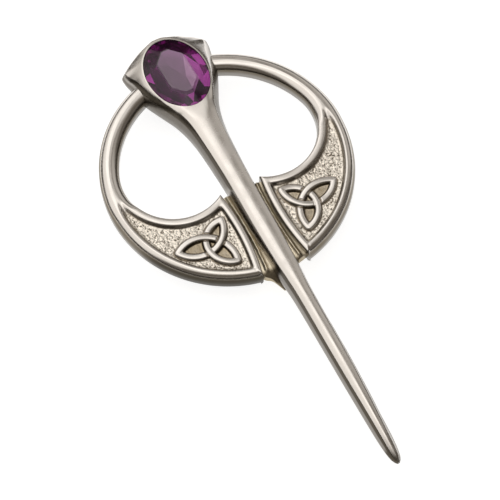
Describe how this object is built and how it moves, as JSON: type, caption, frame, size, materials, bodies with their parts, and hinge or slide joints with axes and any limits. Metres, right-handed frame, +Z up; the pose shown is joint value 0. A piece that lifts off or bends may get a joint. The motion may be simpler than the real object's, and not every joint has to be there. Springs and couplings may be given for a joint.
{
  "type": "kilt pin",
  "caption": "Open ring with two widened, knot-carved ends under a long tapered bar whose flared head holds an oval purple glass stone; pin finding on the back.",
  "frame": {"origin": "middle of the footprint, on the surface that the hinge block and the catch rest on", "axes": "+Z up out of the front face, +Y along the bar towards the stone, +X across the ring"},
  "size_m": [0.042, 0.0836, 0.0088],
  "materials": {
    "polished_metal": "hand-polished white metal, slightly warm, with a matt stippled ground",
    "purple_glass": "clear purple glass with a mirrored back",
    "finding_steel": "bright nickel-plated steel"
  },
  "bodies": {
    "root": {"casting": "polished_metal", "stone": "purple_glass", "back_pin": "finding_steel"}
  },
  "joints": []
}
